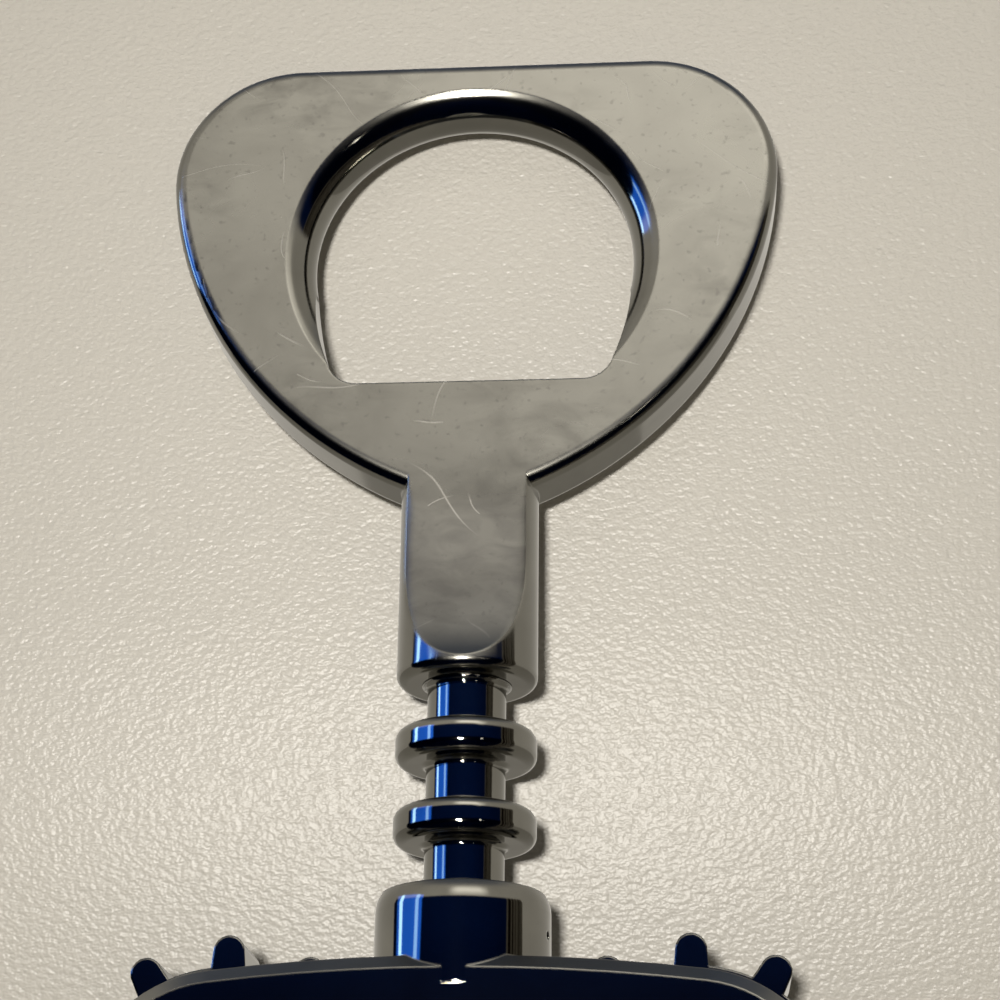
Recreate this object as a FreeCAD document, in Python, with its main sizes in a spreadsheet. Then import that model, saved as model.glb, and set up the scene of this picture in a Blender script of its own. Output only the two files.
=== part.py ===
import FreeCAD, Part
import math
import os
import Sketcher

# Wing corkscrew, standing upright with its levers down.
# Origin: centre of the bell's bottom rim. +Z along the worm's axis towards the opener head, +X towards the
# right lever, -Y is the front. Millimetres and degrees.

DRIVING_SIZES = {
    # rack and pinion
    "tooth_pitch": 5.7,            # distance between two rack rings
    "teeth_per_turn": 12,          # pinion teeth that a full circle would hold
    "lever_teeth": 7,
    "rack_rings": 7,
    "tooth_side_gap": 0.55,        # beside a tooth's tip between two rings
    "tooth_taper": 0.4,            # how much wider a tooth is at its base
    "tooth_tip_gap": 0.53,         # from a tooth's tip to the rack's sleeve
    "tooth_root_gap": 0.43,        # from a ring's edge to the pinion's root
    "pitch_line_depth": 0.46,      # of the rack's pitch line under the rings' edge
    "ring_step": 0.03,             # how much smaller the rings are than the neck
    "ring_thickness": 2.5,
    "ring_round": 0.8,
    "ring_foot_round": 0.4,        # hollow round between a ring and the sleeve
    "rack_wall": 1.21,
    "rack_tail": 0.45,             # sleeve below the lowest ring
    # places of the mechanism
    "pivot_height": 82.0,
    # opener head, heights counted from the middle of the top ring
    "neck_radius": 5.0,
    "neck_bottom": 4.6,
    "neck_round": 0.7,
    "neck_top_under_lip": 3.0,
    "plate_thickness": 5.2,
    "plate_half_width": 23.1,
    "plate_top": 54.7,
    "plate_corner_radius": 9.6,
    "plate_flank_radius": 30.5,
    "plate_flank_rise": 2.05,      # middle of the flank's arc above the middle of the corner's arc
    "plate_foot_inset": 0.5,       # inside the neck's side, where the flanks end
    "plate_edge_round": 1.0,
    "hole_drop": 16.5,             # middle of the hole below the plate's top
    "hole_radius": 12.1,
    "hole_rim_step": 1.95,         # how much wider the hole is at the plate's faces
    "hole_rim_end": 52.0,          # angle below level where the flared rim ends
    "lip_drop": 10.9,              # the straight lip that lifts a crown cap, below the hole's middle
    "lip_half_width": 9.8,
    "lip_corner_round": 2.3,
    "hole_side_angle": 12.0,       # below level, where the hole's flatter sides leave the round part
    "hole_side_radius": 20.0,
    "hole_side_step": 0.08,
    "tongue_tip": 5.4,             # where the flats run out of the round neck
    "tongue_length": 8.0,
    # worm
    "shank_radius": 1.5,
    "shank_depth": 12.0,           # how far the shank reaches into the neck
    "shank_running_gap": 0.06,
    "worm_wire_radius": 1.45,
    "worm_coil_radius": 3.05,
    "worm_coil_pitch": 9.5,
    "worm_tip_rise": 1.0,          # tip above the bottle's lip
    "worm_lead": 7.0,              # height over which the wire leaves the axis
    "worm_point": 8.0,             # height over which the wire tapers to its point
    "worm_point_radius": 0.15,
    "worm_shank_tail": 4.0,        # straight shank below the rack
    "worm_pin_radius": 0.8,
    "worm_pin_height": 9.8,        # above the neck's bottom
    "worm_pin_inset": 0.3,         # its rear end below the neck's flat, its front end inside the shank
    "thrust_gap": 0.05,
    "rack_washer_radius": 3.6,
    "rack_washer_thickness": 0.6,
    "clip_radius": 2.7,
    "clip_thickness": 0.6,
    "clip_opening": 60.0,
    "clip_groove_depth": 0.3,
    # levers
    "lever_rest_angle": 10.0,      # outwards from straight down
    "lever_thickness": 6.0,
    "lever_length": 80.0,
    "lever_waist_half_width": 4.7,
    "lever_waist_drop": 30.0,      # the arm's narrowest place, below the pivot
    "lever_grip_half_width": 6.5,
    "lever_edge_round": 1.8,
    # pivots
    "pivot_pin_radius": 2.0,
    "pivot_running_gap": 0.06,
    "press_gap": 0.02,
    "rivet_head_rim": 1.4,         # how far each of these reaches past the pin
    "rivet_head_height": 1.2,
    "rivet_head_edge": 0.3,        # height of the head's rim under its dome
    "rivet_tail_rim": 0.7,
    "rivet_tail_height": 0.7,
    "burr_washer_rim": 1.9,
    "burr_washer_thickness": 0.7,
    "thrust_washer_rim": 2.6,
    "thrust_washer_thickness": 0.45,
    "washer_gap": 0.05,
    # body
    "cheek_wall": 2.45,
    "cheek_lobe_radius": 9.4,
    "cheek_top_rise": 10.3,        # top of the arch above the pivots
    "cheek_foot_drop": 18.0,       # foot of the cheeks below the pivots
    "cheek_foot_half_width": 6.5,
    "cheek_bevel": 0.9,
    "tooth_slot_gap": 0.5,         # around the teeth, and beside the lever's arm
    "collar_wall": 0.65,
    "collar_rise": 15.25,          # top of the collar above the pivots
    "collar_crown": 1.3,           # height over which the collar rounds in to its top
    "collar_land": 0.1,
    "rack_bore_gap": 0.35,
    "rack_bore_chamfer": 0.15,
    "collar_hole_radius": 0.28,
    "collar_hole_rise": 12.3,
    "collar_hole_turn": 13.0,
    "cage_top_drop": 6.0,          # where the cage grows out of the cheeks
    "cage_waist_inset": 0.05,      # inside the cheeks' faces there
    "cage_skirt_step": 0.8,        # how much smaller the cage's foot is than the bell
    "cage_skirt_rise": 3.0,        # straight part of the cage's foot above the bell
    "cage_hollow_radius": 50.0,    # concave upper part of the bell-shaped cage
    "cage_wall": 2.4,
    "cage_roof_drop": 22.0,        # roof of the hollow below the pivots
    "cage_ledge": 0.8,             # slope from the spigot's bore out to the cage's wall
    "window_sill": 7.0,            # where the window's sides start above the bell
    "window_top_drop": 9.0,        # where they end below the roof
    "window_low_half_width": 7.6,
    "window_high_half_width": 5.0,
    "window_low_arc": 8.36,        # radii of the window's round ends
    "window_high_arc": 5.25,
    # bell and its plastics
    "bell_height": 22.0,
    "bell_wall": 1.55,
    "bell_round": 0.8,
    "bell_foot_round": 0.4,
    "seat_gap": 0.03,
    "spigot_wall": 2.4,
    "bottle_lip_radius": 15.2,
    "bottle_lip_depth": 12.0,
    "insert_wall": 1.22,
    "insert_recess": 0.6,
    "lip_pad_thickness": 1.5,
    "cork_passage_radius": 11.9,   # a cork drawn from the bottle rises through here into the cage
}

doc = FreeCAD.newDocument("WingCorkscrew")
sheet = doc.addObject("Spreadsheet::Sheet", "Sizes")


class Size:
    """A length or an angle: its number, and the sheet expression that gives it."""

    def __init__(self, value, text):
        self.value = value
        self.text = text

    def __add__(self, other):
        return joined(self, "+", other, self.value + as_size(other).value)

    def __sub__(self, other):
        return joined(self, "-", other, self.value - as_size(other).value)

    def __mul__(self, other):
        return joined(self, "*", other, self.value * as_size(other).value)

    def __truediv__(self, other):
        return joined(self, "/", other, self.value / as_size(other).value)

    def __neg__(self):
        return Size(-self.value, f"(0 - {self.text})")


def as_size(number):
    if isinstance(number, Size):
        return number
    return Size(float(number), repr(float(number)))


def joined(first, sign, second, value):
    return Size(value, f"({first.text} {sign} {as_size(second).text})")


def sine(angle):
    return Size(math.sin(math.radians(angle.value)), f"sin({angle.text})")


def cosine(angle):
    return Size(math.cos(math.radians(angle.value)), f"cos({angle.text})")


def root(square):
    return Size(math.sqrt(square.value), f"sqrt({square.text})")


class Sizes:
    """The driving dimensions by name, each tied to its cell of the sheet."""


for row, (alias, number) in enumerate(DRIVING_SIZES.items(), start=1):
    sheet.set(f"A{row}", alias)
    sheet.set(f"B{row}", str(number))
    sheet.setAlias(f"B{row}", alias)
    setattr(Sizes, alias, Size(float(number), f"Sizes.{alias}"))
doc.recompute()

S = Sizes
PAST = 1.0  # how far a cut runs past the solid that it cuts

# Sizes that follow from the driving ones
ring_height = S.pivot_height + S.tooth_pitch * 4.5
tooth_spacing = as_size(360) / S.teeth_per_turn
rack_bore = S.shank_radius + S.shank_running_gap
stem_radius = rack_bore + S.rack_wall
ring_radius = S.neck_radius - S.ring_step
pitch_radius = S.tooth_pitch * S.teeth_per_turn / math.tau
pivot_offset = pitch_radius + ring_radius - S.pitch_line_depth
tooth_tip_radius = pivot_offset - stem_radius - S.tooth_tip_gap
tooth_root_radius = pivot_offset - ring_radius - S.tooth_root_gap
tooth_tip_width = S.tooth_pitch - S.ring_thickness - S.tooth_side_gap * 2
rack_bottom = -(S.tooth_pitch * (S.rack_rings - 1) + S.ring_thickness / 2 + S.rack_tail)
half_lever = S.lever_thickness / 2
half_slot = half_lever + S.thrust_washer_thickness + S.washer_gap
half_depth = half_slot + S.cheek_wall
slot_radius = tooth_tip_radius + S.tooth_slot_gap
# the arm's long sides are hollow arcs that run smoothly into its round end
grip_drop = S.lever_length - S.lever_grip_half_width
grip_to_waist = grip_drop - S.lever_waist_drop
arm_side_radius = ((grip_to_waist * grip_to_waist + S.lever_waist_half_width * S.lever_waist_half_width
                    - S.lever_grip_half_width * S.lever_grip_half_width)
                   / ((S.lever_grip_half_width - S.lever_waist_half_width) * 2))
arm_root_half_width = (S.lever_waist_half_width + arm_side_radius
                       - root(arm_side_radius * arm_side_radius - S.lever_waist_drop * S.lever_waist_drop))
bore_radius = S.neck_radius + S.rack_bore_gap
collar_radius = bore_radius + S.collar_wall
hole_height = S.plate_top - S.hole_drop
lip_height = hole_height - S.lip_drop
spigot_radius = S.bottle_lip_radius + S.insert_wall
bell_bore = spigot_radius + S.seat_gap
bell_radius = bell_bore + S.bell_wall
spigot_bottom = S.bottle_lip_depth + S.lip_pad_thickness
cage_waist_radius = half_depth - S.cage_waist_inset
cage_skirt_radius = bell_radius - S.cage_skirt_step
cage_skirt_height = S.bell_height + S.cage_skirt_rise
cage_roof = S.pivot_height - S.cage_roof_drop


# Building helpers

def bind(feature, path, size):
    """Sets a property from the sheet."""
    feature.setExpression(path, as_size(size).text)


def new_body(node):
    body = doc.addObject("PartDesign::Body", node)
    body.Label = node
    return body


def origin_part(body, role):
    for feature in body.Origin.OriginFeatures:
        if feature.Role == role:
            return feature
    raise ValueError(role)


def new_sketch(body, name, plane_role):
    sketch = body.newObject("Sketcher::SketchObject", f"{body.Name}_{name}")
    sketch.AttachmentSupport = [(origin_part(body, plane_role), "")]
    sketch.MapMode = "FlatFace"
    return sketch


def constrain(sketch, constraint, size):
    index = sketch.addConstraint(constraint)
    sketch.setExpression(f"Constraints[{index}]", size.text)


def hold_point(sketch, geometry, position, x, y):
    """Fixes a point of the sketch at x, y from the sketch's origin."""
    for kind, axis, size in (("DistanceX", -2, x), ("DistanceY", -1, y)):
        if abs(size.value) < 1e-9:
            sketch.addConstraint(Sketcher.Constraint("PointOnObject", geometry, position, axis))
        else:
            rule = Sketcher.Constraint(kind, -1, 1, geometry, position, size.value)
            constrain(sketch, rule, size)


def arc_between(start, end, radius, turn):
    """The arc under half a turn from start to end; turn is +1 when it bends to the left, -1 to the right."""
    chord = end - start
    middle = (start + end) / 2
    to_left = FreeCAD.Vector(-chord.y, chord.x, 0) / chord.Length
    offset = math.sqrt(max(radius ** 2 - chord.Length ** 2 / 4, 0))
    centre = middle + to_left * offset * turn
    first, last = (start, end) if turn > 0 else (end, start)
    first_angle = math.atan2(first.y - centre.y, first.x - centre.x)
    last_angle = math.atan2(last.y - centre.y, last.x - centre.x)
    circle = Part.Circle(centre, FreeCAD.Vector(0, 0, 1), radius)
    return Part.ArcOfCircle(circle, first_angle, last_angle)


def outline(sketch, corners):
    """A closed outline. A corner is (x, y), or (x, y, radius, turn) where an arc leads on from it."""
    corners = [tuple(as_size(item) for item in corner[:3]) + tuple(corner[3:]) for corner in corners]
    points = [FreeCAD.Vector(corner[0].value, corner[1].value, 0) for corner in corners]
    spans = []
    for index, corner in enumerate(corners):
        start = points[index]
        end = points[(index + 1) % len(points)]
        if len(corner) == 2:
            spans.append((sketch.addGeometry(Part.LineSegment(start, end), False), 1, 2))
        else:
            radius, turn = corner[2:]
            arc = sketch.addGeometry(arc_between(start, end, radius.value, turn), False)
            spans.append((arc, 1, 2) if turn > 0 else (arc, 2, 1))
            constrain(sketch, Sketcher.Constraint("Radius", arc, radius.value), radius)
    for index, (geometry, first, last) in enumerate(spans):
        following, following_first = spans[(index + 1) % len(spans)][:2]
        joint = Sketcher.Constraint("Coincident", geometry, last, following, following_first)
        sketch.addConstraint(joint)
        hold_point(sketch, geometry, first, corners[index][0], corners[index][1])


def circle(sketch, x, y, radius):
    centre = FreeCAD.Vector(as_size(x).value, as_size(y).value, 0)
    geometry = sketch.addGeometry(Part.Circle(centre, FreeCAD.Vector(0, 0, 1), radius.value), False)
    hold_point(sketch, geometry, 3, as_size(x), as_size(y))
    constrain(sketch, Sketcher.Constraint("Radius", geometry, radius.value), radius)


def extrude(kind, body, name, sketch, length):
    """A pad or pocket to both sides of its sketch."""
    feature = body.newObject(f"PartDesign::{kind}", f"{body.Name}_{name}")
    feature.Profile = sketch
    feature.SideType = "Symmetric"
    bind(feature, "Length", length)
    sketch.Visibility = False
    body.Tip = feature
    return feature


def turn(kind, body, name, sketch, angle=360.0, axis="V_Axis"):
    """A revolution or groove about an axis of its sketch."""
    feature = body.newObject(f"PartDesign::{kind}", f"{body.Name}_{name}")
    feature.Profile = sketch
    feature.ReferenceAxis = (sketch, [axis])
    feature.Midplane = True
    bind(feature, "Angle", angle)
    sketch.Visibility = False
    body.Tip = feature
    return feature


def edge_names(feature, wanted):
    doc.recompute()
    return [f"Edge{index}" for index, edge in enumerate(feature.Shape.Edges, start=1) if wanted(edge)]


def soften(kind, body, name, base, wanted, size):
    """A fillet or chamfer on the edges of the base that wanted picks."""
    names = edge_names(base, wanted)
    if not names:
        raise ValueError(f"{body.Name}_{name} finds no edge")
    feature = body.newObject(f"PartDesign::{kind}", f"{body.Name}_{name}")
    feature.Base = (base, names)
    bind(feature, "Size" if kind == "Chamfer" else "Radius", size)
    body.Tip = feature
    return feature


def on_face_at(y):
    """Picks the edges that lie in a plane at this distance in front of and behind the middle."""
    def wanted(edge):
        box = edge.BoundBox
        return abs(abs(box.YMin) - y) < 1e-4 and box.YLength < 1e-4
    return wanted


def lathe_body(node, profile, angle=360.0):
    """A turned piece, from the outline of its half section: radius, height."""
    body = new_body(node)
    sketch = new_sketch(body, "section", "XZ_Plane")
    outline(sketch, profile)
    turn("Revolution", body, "turned", sketch, angle)
    return body


def ring_profile(inner, outer, low, high):
    return [(inner, low), (outer, low), (outer, high), (inner, high)]


def place(body, x=0, y=0, z=0):
    for letter, size in zip("xyz", (x, y, z)):
        bind(body, f".Placement.Base.{letter}", size)


def turned_about(x, y, z):
    """A placement turned about this axis; its angle is then bound to a size."""
    return FreeCAD.Placement(FreeCAD.Vector(), FreeCAD.Rotation(FreeCAD.Vector(x, y, z), 1))


def face_front(body):
    """Turns a piece that was made upright so that its top points to the front."""
    body.Placement = FreeCAD.Placement(body.Placement.Base, FreeCAD.Rotation(FreeCAD.Vector(1, 0, 0), 90))


# Opener head: plate, neck with its two flats, cap lifter

def opener_plate(body):
    corner_x = S.plate_half_width - S.plate_corner_radius
    corner_z = S.plate_top - S.plate_corner_radius
    reach = S.plate_flank_radius - S.plate_corner_radius
    centre_x = corner_x - root(reach * reach - S.plate_flank_rise * S.plate_flank_rise)
    centre_z = corner_z + S.plate_flank_rise
    meet_x = corner_x + (corner_x - centre_x) * S.plate_corner_radius / reach
    meet_z = corner_z - S.plate_flank_rise * S.plate_corner_radius / reach
    foot_x = S.neck_radius - S.plate_foot_inset
    span = foot_x - centre_x
    foot_z = centre_z - root(S.plate_flank_radius * S.plate_flank_radius - span * span)
    sketch = new_sketch(body, "plate", "XZ_Plane")
    outline(sketch, [
        (foot_x, foot_z, S.plate_flank_radius, 1),
        (meet_x, meet_z, S.plate_corner_radius, 1),
        (corner_x, S.plate_top),
        (-corner_x, S.plate_top, S.plate_corner_radius, 1),
        (-meet_x, meet_z, S.plate_flank_radius, 1),
        (-foot_x, foot_z),
    ])
    plate = extrude("Pad", body, "plate_pad", sketch, S.plate_thickness)
    on_faces = on_face_at(S.plate_thickness.value / 2)
    soften("Fillet", body, "plate_edges", plate, on_faces, S.plate_edge_round)


def opener_neck(body):
    top = lip_height - S.neck_top_under_lip
    bore = S.shank_radius + S.press_gap
    bore_top = S.neck_bottom + S.shank_depth
    section = new_sketch(body, "neck", "XZ_Plane")
    outline(section, [
        (bore, S.neck_bottom),
        (S.neck_radius - S.neck_round, S.neck_bottom, S.neck_round, 1),
        (S.neck_radius, S.neck_bottom + S.neck_round),
        (S.neck_radius, top),
        (0, top),
        (0, bore_top),
        (bore, bore_top),
    ])
    turn("Revolution", body, "neck_turned", section)
    # the flats of the plate run down the neck and out of it in a long curve
    flat = S.plate_thickness / 2
    out = S.neck_radius - flat
    blend = (S.tongue_length * S.tongue_length + out * out) / (out * 2)
    clear = S.neck_radius + PAST
    start = S.tongue_tip + S.tongue_length
    rear = [
        (flat, start),
        (flat + out, S.tongue_tip),
        (clear, S.tongue_tip),
        (clear, top + PAST),
        (flat, top + PAST),
    ]
    flats = new_sketch(body, "flats", "YZ_Plane")
    outline(flats, [rear[0] + (blend, 1)] + rear[1:])
    front = [(-x, z) for x, z in rear]
    outline(flats, [front[1] + (blend, 1), front[0]] + front[:1:-1])
    extrude("Pocket", body, "flats_cut", flats, (S.neck_radius + PAST) * 2)


def opener_hole(body):
    flat = S.plate_thickness / 2
    over = flat + PAST
    edge = S.hole_radius + S.hole_rim_step
    rim_radius = (flat * flat + S.hole_rim_step * S.hole_rim_step) / (S.hole_rim_step * 2)
    rim = new_sketch(body, "hole_rim", "YZ_Plane")
    bind(rim, ".AttachmentOffset.Base.y", hole_height)
    outline(rim, [
        (-over, 0),
        (over, 0),
        (over, edge),
        (flat, edge, rim_radius, -1),
        (-flat, edge),
        (-over, edge),
    ])
    turn("Groove", body, "hole_rim_cut", rim, S.hole_rim_end * 2 + 180.0, "H_Axis")
    side_radius = S.hole_radius + S.hole_side_step
    side_x = side_radius * cosine(S.hole_side_angle)
    side_z = hole_height - side_radius * sine(S.hole_side_angle)
    sides = new_sketch(body, "hole_sides", "XZ_Plane")
    outline(sides, [
        (-S.lip_half_width, lip_height),
        (S.lip_half_width, lip_height, S.hole_side_radius, 1),
        (side_x, side_z),
        (0, hole_height + PAST),
        (-side_x, side_z, S.hole_side_radius, 1),
    ])
    cut = extrude("Pocket", body, "hole_cut", sides, S.plate_thickness + PAST * 2)

    def lip_corner(line):
        box = line.BoundBox
        beside = abs(abs(box.XMin) - S.lip_half_width.value) < 0.01
        level = abs(box.ZMin - lip_height.value) < 0.01
        return beside and level and box.XLength < 0.01 and box.ZLength < 0.01
    soften("Fillet", body, "lip_corners", cut, lip_corner, S.lip_corner_round)


def make_head_opener():
    body = new_body("head_opener")
    opener_plate(body)
    opener_neck(body)
    opener_hole(body)
    # the worm's pin is driven in from behind
    pin_hole = new_sketch(body, "pin_hole", "XZ_Plane")
    depth = S.neck_radius + PAST
    bind(pin_hole, ".AttachmentOffset.Base.z", -depth / 2)
    circle(pin_hole, 0, S.neck_bottom + S.worm_pin_height, S.worm_pin_radius + S.press_gap)
    extrude("Pocket", body, "pin_hole_cut", pin_hole, depth)
    place(body, z=ring_height)
    return body


# Rack: a sleeve with round teeth, which mesh whichever way it is turned

def make_rack():
    body = new_body("rack")
    top = S.neck_bottom - S.thrust_gap
    foot = S.ring_foot_round
    sleeve = new_sketch(body, "sleeve", "XZ_Plane")
    outline(sleeve, [
        (rack_bore, rack_bottom),
        (stem_radius, rack_bottom),
        (stem_radius, top - foot, foot, -1),
        (stem_radius + foot, top),
        (rack_bore, top),
    ])
    turn("Revolution", body, "sleeve_turned", sleeve)
    half = S.ring_thickness / 2
    inner = (rack_bore + stem_radius) / 2
    ring = new_sketch(body, "ring", "XZ_Plane")
    outline(ring, [
        (inner, -half - foot),
        (stem_radius, -half - foot, foot, -1),
        (stem_radius + foot, -half),
        (ring_radius - S.ring_round, -half, S.ring_round, 1),
        (ring_radius, S.ring_round - half),
        (ring_radius, half - S.ring_round, S.ring_round, 1),
        (ring_radius - S.ring_round, half),
        (stem_radius + foot, half, foot, -1),
        (stem_radius, half + foot),
        (inner, half + foot),
    ])
    tooth = turn("Revolution", body, "ring_turned", ring)
    doc.recompute()
    rings = body.newObject("PartDesign::LinearPattern", "rack_rings_row")
    rings.Originals = [tooth]
    rings.Direction = (origin_part(body, "Z_Axis"), [""])
    rings.Reversed = True
    bind(rings, "Length", S.tooth_pitch * (S.rack_rings - 1))
    rings.Occurrences = int(S.rack_rings.value)
    bind(rings, "Occurrences", S.rack_rings)
    body.Tip = rings
    place(body, z=ring_height)
    return body


# Worm and what holds it

def wire_sweep(spine, first_radius, last_radius):
    """A round wire along the spine, from one radius to another."""
    sweep = Part.BRepOffsetAPI.MakePipeShell(Part.Wire([spine]))
    sweep.setFrenetMode(False)
    for parameter, radius in ((spine.FirstParameter, first_radius), (spine.LastParameter, last_radius)):
        section = Part.Circle(spine.valueAt(parameter), spine.tangentAt(parameter), radius).toShape()
        sweep.add(Part.Wire([section]), False, False)
    sweep.build()
    sweep.makeSolid()
    return sweep.shape()


def coil_point(height, top):
    """A point of the wire's middle line at this height: it leaves the axis smoothly, then winds down."""
    lead = min((top - height) / S.worm_lead.value, 1.0)
    radius = S.worm_coil_radius.value * lead * lead * (3.0 - 2.0 * lead)
    angle = -math.tau * (top - height) / S.worm_coil_pitch.value
    return FreeCAD.Vector(radius * math.cos(angle), radius * math.sin(angle), height)


def make_worm():
    shank_top = (ring_height + S.neck_bottom + S.shank_depth).value
    coil_top = (ring_height + rack_bottom - S.worm_shank_tail).value
    tip = (S.bottle_lip_depth + S.worm_tip_rise).value
    taper_start = tip + S.worm_point.value
    steps = int(math.ceil((coil_top - tip) * 16.0 / S.worm_coil_pitch.value))
    line = Part.BSplineCurve()
    line.interpolate([coil_point(coil_top - (coil_top - tip) * index / steps, coil_top)
                      for index in range(steps + 1)])
    split = line.parameter(coil_point(taper_start, coil_top))
    wire = S.worm_wire_radius.value
    coil = wire_sweep(line.toShape(line.FirstParameter, split), wire, wire)
    point = wire_sweep(line.toShape(split, line.LastParameter), wire, S.worm_point_radius.value)
    shank_bottom = coil_top - S.press_gap.value
    centre = FreeCAD.Vector(0, 0, shank_bottom)
    shank = Part.makeCylinder(S.shank_radius.value, shank_top - shank_bottom, centre)
    groove_top = (ring_height + rack_bottom - S.thrust_gap * 2 - S.rack_washer_thickness).value
    groove_bottom = groove_top - S.clip_thickness.value
    groove_radius = S.shank_radius.value - S.clip_groove_depth.value
    groove_place = FreeCAD.Vector(0, 0, groove_bottom)
    groove_ring = Part.makeCylinder(S.shank_radius.value + PAST, groove_top - groove_bottom, groove_place)
    groove_core = Part.makeCylinder(groove_radius, groove_top - groove_bottom, groove_place)
    pin_z = (ring_height + S.neck_bottom + S.worm_pin_height).value
    pin_place = FreeCAD.Vector(0, -S.neck_radius.value, pin_z)
    pin_radius = (S.worm_pin_radius + S.press_gap).value
    pin_hole = Part.makeCylinder(pin_radius, S.neck_radius.value * 2, pin_place, FreeCAD.Vector(0, 1, 0))
    shape = shank.fuse([coil, point]).removeSplitter()
    shape = shape.cut(groove_ring.cut(groove_core)).cut(pin_hole)
    worm = doc.addObject("Part::Feature", "worm")
    worm.Label = "worm"
    worm.Shape = shape.Solids[0] if len(shape.Solids) == 1 else shape
    return worm


def make_worm_fastenings():
    pin = doc.addObject("Part::Cylinder", "worm_pin")
    pin.Label = "worm_pin"
    bind(pin, "Radius", S.worm_pin_radius)
    pin_front = S.shank_radius - S.worm_pin_inset
    pin_rear = S.plate_thickness / 2 - S.worm_pin_inset
    bind(pin, "Height", pin_front + pin_rear)
    pin.Placement.Rotation = FreeCAD.Rotation(FreeCAD.Vector(1, 0, 0), -90)
    place(pin, y=-pin_front, z=ring_height + S.neck_bottom + S.worm_pin_height)
    washer_top = ring_height + rack_bottom - S.thrust_gap
    washer_profile = ring_profile(rack_bore, S.rack_washer_radius, -S.rack_washer_thickness, 0)
    washer = lathe_body("rack_washer", washer_profile)
    place(washer, z=washer_top)
    clip_top = washer_top - S.rack_washer_thickness - S.thrust_gap
    groove_radius = S.shank_radius - S.clip_groove_depth + S.press_gap
    clip_profile = ring_profile(groove_radius, S.clip_radius, -(S.clip_thickness - S.press_gap), 0)
    clip = lathe_body("rack_clip", clip_profile, as_size(360) - S.clip_opening)
    place(clip, z=clip_top)
    return [pin, washer, clip]


# Levers: pinion and arm in one casting

def make_lever(node, side):
    """side is +1 for the right lever and -1 for the left one."""
    body = new_body(node)
    grip = S.lever_grip_half_width
    centres = arm_side_radius + grip
    meet_x = (arm_side_radius + S.lever_waist_half_width) * grip / centres
    meet_z = grip_to_waist * grip / centres - grip_drop
    arm = new_sketch(body, "arm", "XZ_Plane")
    outline(arm, [
        (-arm_root_half_width, 0, arm_side_radius, -1),
        (-meet_x, meet_z, grip, 1),
        (0, -S.lever_length, grip, 1),
        (meet_x, meet_z, arm_side_radius, -1),
        (arm_root_half_width, 0),
    ])
    blank = extrude("Pad", body, "arm_pad", arm, S.lever_thickness)
    soften("Fillet", body, "arm_edges", blank, on_face_at(half_lever.value), S.lever_edge_round)
    hub = new_sketch(body, "hub", "XZ_Plane")
    circle(hub, 0, 0, tooth_root_radius)
    extrude("Pad", body, "hub_pad", hub, S.lever_thickness)
    half_tip = tooth_tip_width / 2
    half_base = half_tip + S.tooth_taper / 2
    base = tooth_root_radius - PAST
    shoulder = tooth_tip_radius - half_tip
    tooth = new_sketch(body, "tooth", "XZ_Plane")
    outline(tooth, [
        (base, -half_base),
        (shoulder, -half_tip, half_tip, 1),
        (tooth_tip_radius, 0, half_tip, 1),
        (shoulder, half_tip),
        (base, half_base),
    ])
    first_angle = tooth_spacing * side + 180.0 - S.lever_rest_angle * side
    tooth.AttachmentOffset = turned_about(0, 0, 1)
    bind(tooth, ".AttachmentOffset.Rotation.Angle", first_angle)
    first_tooth = extrude("Pad", body, "tooth_pad", tooth, S.lever_thickness)
    doc.recompute()
    teeth = body.newObject("PartDesign::PolarPattern", f"{node}_teeth")
    teeth.Originals = [first_tooth]
    teeth.Axis = (origin_part(body, "Y_Axis"), [""])
    bind(teeth, "Angle", tooth_spacing * (S.lever_teeth - 1))
    teeth.Occurrences = int(S.lever_teeth.value)
    bind(teeth, "Occurrences", S.lever_teeth)
    body.Tip = teeth
    bore = new_sketch(body, "bore", "XZ_Plane")
    circle(bore, 0, 0, S.pivot_pin_radius + S.pivot_running_gap)
    extrude("Pocket", body, "bore_cut", bore, S.lever_thickness + PAST * 2)
    body.Placement = turned_about(0, -side, 0)
    bind(body, ".Placement.Rotation.Angle", S.lever_rest_angle)
    place(body, x=pivot_offset * side, z=S.pivot_height)
    return body


def make_pivot(name, side):
    """The rivet, its burr washer and the two thrust washers of one lever."""
    x = pivot_offset * side
    rivet_end = half_depth + S.burr_washer_thickness + S.rivet_tail_height
    dome = S.rivet_head_height + half_depth
    edge = half_depth + S.rivet_head_edge
    head_radius = S.pivot_pin_radius + S.rivet_head_rim
    tail_radius = S.pivot_pin_radius + S.rivet_tail_rim
    crown = (head_radius * head_radius + (dome - edge) * (dome - edge)) / ((dome - edge) * 2)
    tail = half_depth + S.burr_washer_thickness
    rivet = lathe_body(f"pivot_pin_{name}", [
        (0, -rivet_end),
        (tail_radius, -rivet_end),
        (tail_radius, -tail),
        (S.pivot_pin_radius, -tail),
        (S.pivot_pin_radius, half_depth),
        (head_radius, half_depth),
        (head_radius, edge, crown, 1),
        (0, dome),
    ])
    burr_radius = S.pivot_pin_radius + S.burr_washer_rim
    burr_profile = ring_profile(S.pivot_pin_radius + S.press_gap, burr_radius, -tail, -half_depth)
    pieces = [rivet, lathe_body(f"burr_washer_{name}", burr_profile)]
    inner = S.pivot_pin_radius + S.pivot_running_gap
    near = half_lever + S.washer_gap
    thrust_radius = S.pivot_pin_radius + S.thrust_washer_rim
    front = ring_profile(inner, thrust_radius, near, half_slot)
    rear = ring_profile(inner, thrust_radius, -half_slot, -near)
    pieces.append(lathe_body(f"thrust_washer_{name}_front", front))
    pieces.append(lathe_body(f"thrust_washer_{name}_rear", rear))
    for piece in pieces:
        face_front(piece)
        place(piece, x=x, z=S.pivot_height)
    return pieces


# Body: cheeks, collar and the bell-shaped cage in one casting

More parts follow.
